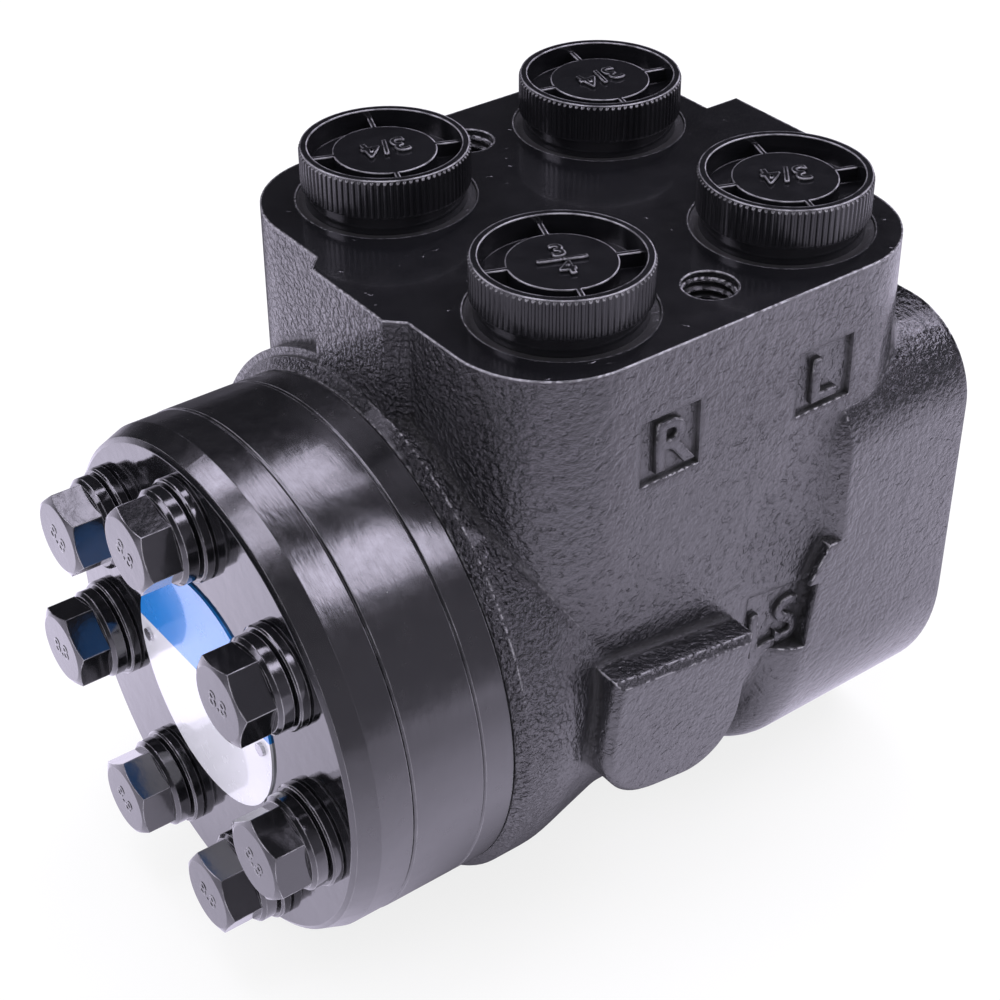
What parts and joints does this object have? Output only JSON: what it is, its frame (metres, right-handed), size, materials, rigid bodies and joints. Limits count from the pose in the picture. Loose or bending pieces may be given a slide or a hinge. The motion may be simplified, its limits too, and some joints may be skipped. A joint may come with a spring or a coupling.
{
  "type": "orbital steering unit",
  "caption": "Hydraulic orbital steering unit: cast valve housing with four plugged ports, bolted gerotor set and end cover, splined spool inside a turning sleeve.",
  "frame": {"origin": "centre of the four-bolt pattern in the column flange face, on the shaft axis", "axes": "+X along the shaft out of the column flange, +Z out of the port face, -Y out of the side with the port marks"},
  "size_m": [0.1525, 0.1072, 0.133],
  "materials": {
    "housing_paint": "gloss black over rough casting",
    "disc_paint": "gloss black over turned steel",
    "bolt_paint": "gloss black",
    "ground_steel": "ground",
    "dark_steel": "oiled",
    "seal_rubber": "matte",
    "plug_plastic": "satin black",
    "plate_print": "printed, blue over white",
    "plate_pin": "bright"
  },
  "bodies": {
    "housing": {"housing": "housing_paint", "distributor_plate": "disc_paint", "gear_ring": "disc_paint", "end_cover": "disc_paint", "cover_bolts": "bolt_paint", "check_bolt": "bolt_paint", "seal_washers": "bolt_paint", "lock_washers": "bolt_paint", "name_plate": "plate_print", "plate_pins": "plate_pin", "oring_housing": "seal_rubber", "oring_plate": "seal_rubber", "oring_ring": "seal_rubber", "oring_cover": "seal_rubber", "shaft_seal": "seal_rubber", "dust_seal": "seal_rubber", "bearing_race_fixed": "ground_steel", "check_seat": "ground_steel", "stop_pin": "ground_steel"},
    "sleeve": {"sleeve": "ground_steel", "cross_pin": "ground_steel", "spring_ring": "dark_steel", "leaf_springs": "dark_steel", "bearing_race_turning": "ground_steel"},
    "spool": {"spool": "ground_steel"},
    "bearing_cage": {"needle_cage": "dark_steel", "needles": "ground_steel"},
    "orbit": {"spacer": "ground_steel"},
    "rotor": {"gear_rotor": "ground_steel"},
    "drive": {"drive_shaft": "dark_steel"},
    "check_ball": {"check_ball": "ground_steel"},
    "plug_1": {"port_plug_1": "plug_plastic"},
    "plug_2": {"port_plug_2": "plug_plastic"},
    "plug_3": {"port_plug_3": "plug_plastic"},
    "plug_4": {"port_plug_4": "plug_plastic"}
  },
  "joints": [
    {"name": "sleeve_turn", "type": "hinge", "parent": "housing", "child": "sleeve", "pos_m": [0, 0, 0], "axis": [1, 0, 0], "continuous": true},
    {"name": "spool_turn", "type": "hinge", "parent": "sleeve", "child": "spool", "pos_m": [0, 0, 0], "axis": [1, 0, 0], "range_deg": [-9, 9], "stiffness_Nm_per_rad": 12},
    {"name": "cage_turn", "type": "hinge", "parent": "housing", "child": "bearing_cage", "pos_m": [0, 0, 0], "axis": [1, 0, 0], "continuous": true},
    {"name": "orbit_turn", "type": "hinge", "parent": "housing", "child": "orbit", "pos_m": [0, 0, 0], "axis": [1, 0, 0], "continuous": true},
    {"name": "rotor_turn", "type": "hinge", "parent": "orbit", "child": "rotor", "pos_m": [-0.12, 0, 0.0032], "axis": [1, 0, 0], "continuous": true},
    {"name": "drive_turn", "type": "hinge", "parent": "orbit", "child": "drive", "pos_m": [-0.0595, 0, 0], "axis": [0.9987, 0, -0.0517], "continuous": true},
    {"name": "ball_lift", "type": "slide", "parent": "housing", "child": "check_ball", "axis": [-1, 0, 0], "range_m": [0, 0.0014]},
    {"name": "plug_1_out", "type": "slide", "parent": "housing", "child": "plug_1", "axis": [0, 0, 1], "range_m": [0, 0.03]},
    {"name": "plug_2_out", "type": "slide", "parent": "housing", "child": "plug_2", "axis": [0, 0, 1], "range_m": [0, 0.03]},
    {"name": "plug_3_out", "type": "slide", "parent": "housing", "child": "plug_3", "axis": [0, 0, 1], "range_m": [0, 0.03]},
    {"name": "plug_4_out", "type": "slide", "parent": "housing", "child": "plug_4", "axis": [0, 0, 1], "range_m": [0, 0.03]}
  ],
  "couplings": [
    {"joint": "cage_turn", "follows": "sleeve_turn", "ratio": 0.5},
    {"joint": "orbit_turn", "follows": "sleeve_turn", "ratio": -6},
    {"joint": "rotor_turn", "follows": "sleeve_turn", "ratio": 7},
    {"joint": "drive_turn", "follows": "sleeve_turn", "ratio": 7}
  ]
}
